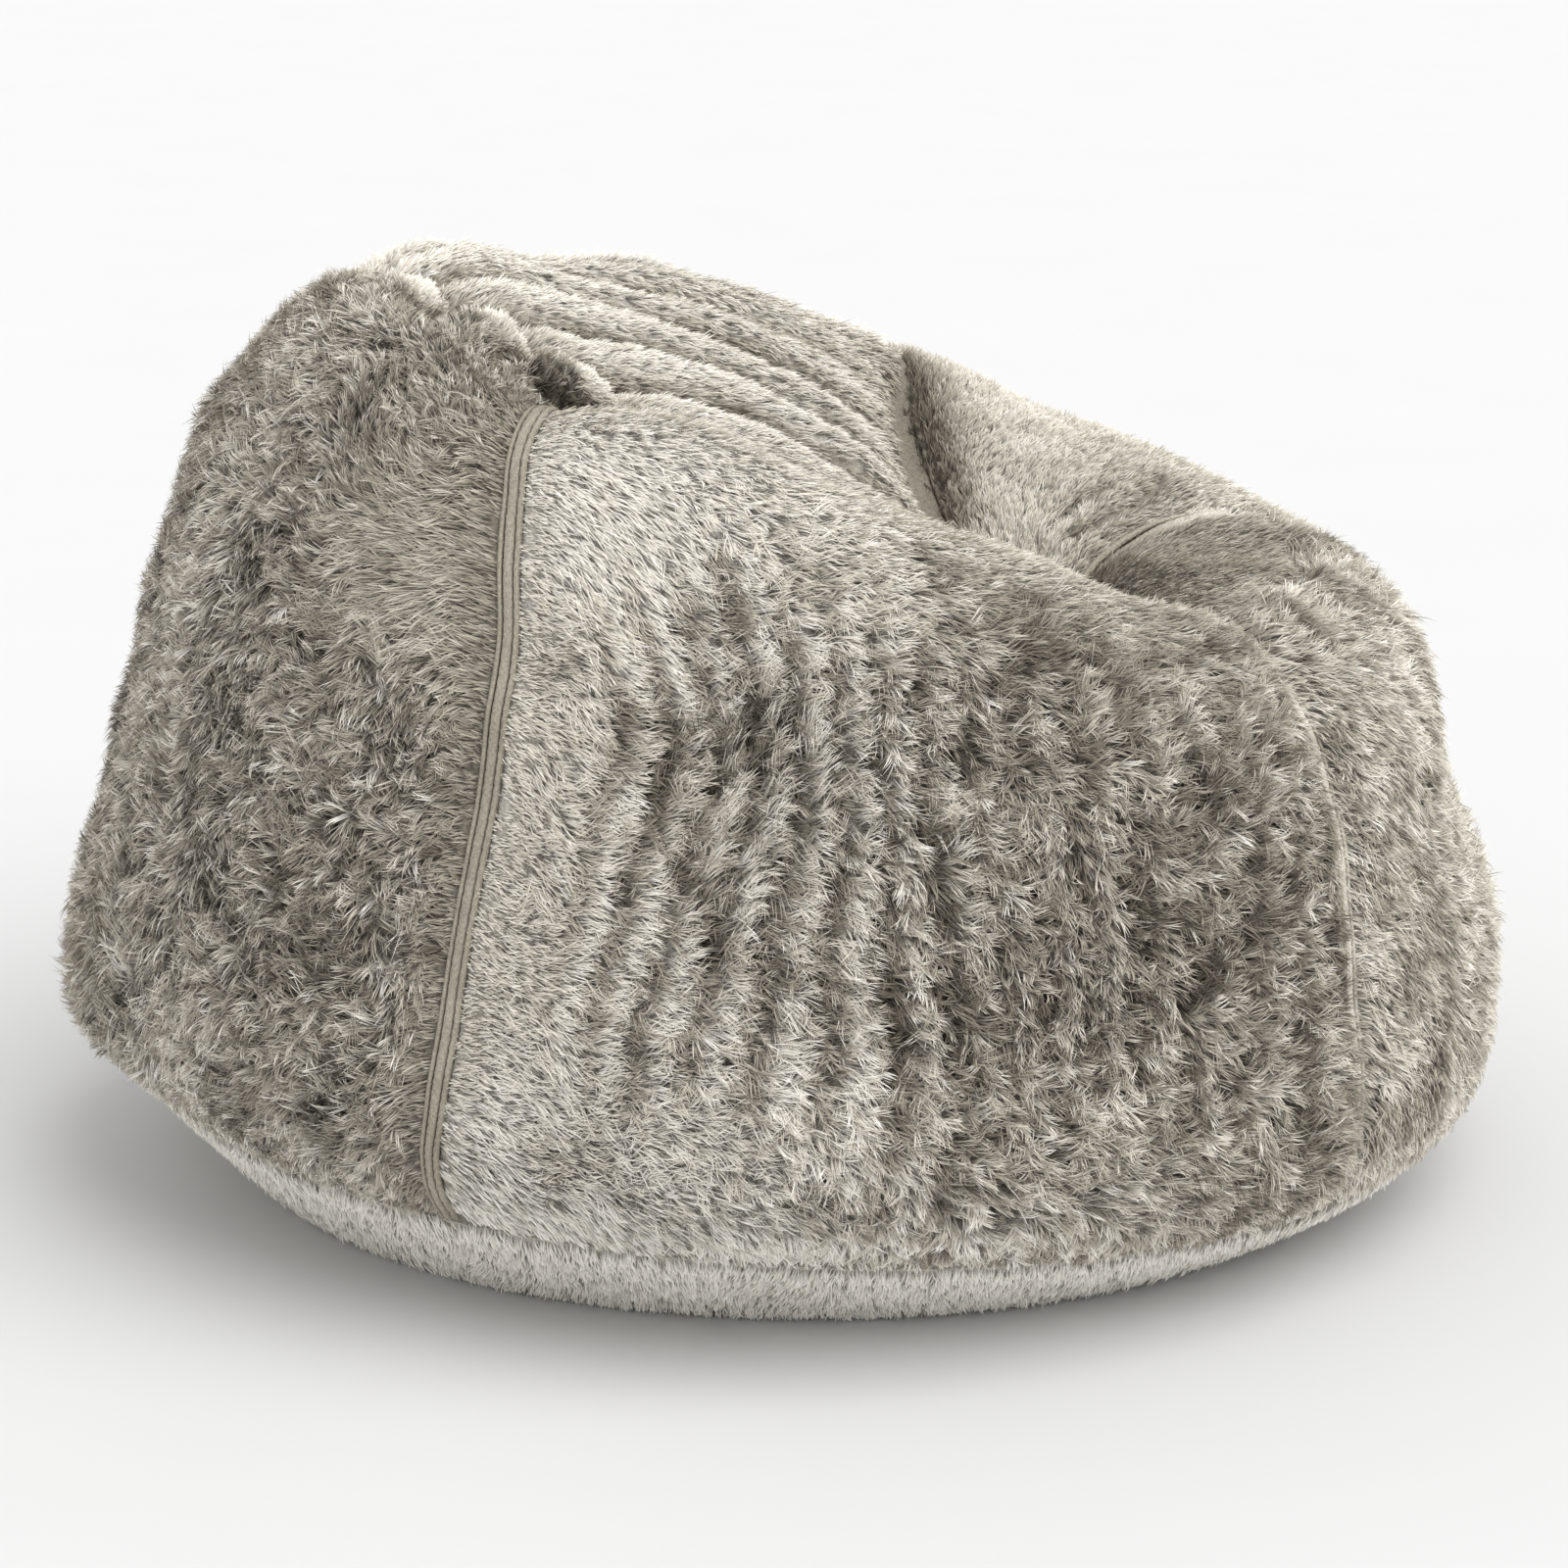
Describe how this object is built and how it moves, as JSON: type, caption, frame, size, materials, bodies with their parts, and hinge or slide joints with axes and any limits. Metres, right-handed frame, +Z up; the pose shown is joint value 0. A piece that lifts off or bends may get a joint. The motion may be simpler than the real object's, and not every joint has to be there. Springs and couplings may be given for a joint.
{
  "type": "bean bag chair",
  "caption": "Round faux-fur bean bag chair with a high back, a seat hollow, stitched gores and a zipped base over a zipped bead liner.",
  "frame": {"origin": "centre of the bounding box's underside, on the floor", "axes": "+Z up, the sitter faces -Y, +X is the sitter's left"},
  "size_m": [1.0837, 1.1067, 0.6822],
  "materials": {
    "faux_fur": "matte",
    "seam_fur": "matte",
    "liner_cloth": "matte",
    "polystyrene_beads": "matte",
    "zip_tape_cloth": "matte",
    "zip_nylon": "satin",
    "zip_metal": "satin"
  },
  "bodies": {
    "bag": {"gore_back_right": "faux_fur", "gore_side_right": "faux_fur", "gore_front": "faux_fur", "gore_side_left": "faux_fur", "gore_back_left": "faux_fur", "top_cap": "faux_fur", "base_right": "faux_fur", "base_left": "faux_fur", "seam_centre_back": "seam_fur", "seam_right_rear": "seam_fur", "seam_right_front": "seam_fur", "seam_left_front": "seam_fur", "seam_left_rear": "seam_fur", "liner_wall": "liner_cloth", "liner_top": "liner_cloth", "liner_base_right": "liner_cloth", "liner_base_left": "liner_cloth", "liner_zip_tape_right": "liner_cloth", "liner_zip_tape_left": "liner_cloth", "bead_fill": "polystyrene_beads", "zip_tape_right": "zip_tape_cloth", "zip_tape_left": "zip_tape_cloth", "zip_teeth_right": "zip_nylon", "zip_teeth_left": "zip_nylon", "liner_zip_teeth_right": "zip_nylon", "liner_zip_teeth_left": "zip_nylon", "zip_stop_front": "zip_metal", "zip_stop_back": "zip_metal", "liner_zip_stop_front": "zip_metal", "liner_zip_stop_back": "zip_metal"},
    "slider": {"zip_slider": "zip_metal"},
    "tab": {"zip_pull_tab": "zip_metal"},
    "liner_slider": {"liner_zip_slider": "zip_metal"}
  },
  "joints": [
    {"name": "zip_slide", "type": "slide", "parent": "bag", "child": "slider", "axis": [0, -1, 0], "range_m": [0, 0.482]},
    {"name": "tab_swing", "type": "hinge", "parent": "slider", "child": "tab", "pos_m": [0, 0.241, 0.0028], "axis": [1, 0, 0], "range_deg": [0, 140]},
    {"name": "liner_zip_slide", "type": "slide", "parent": "bag", "child": "liner_slider", "axis": [0, -1, 0], "range_m": [0, 0.362]}
  ]
}
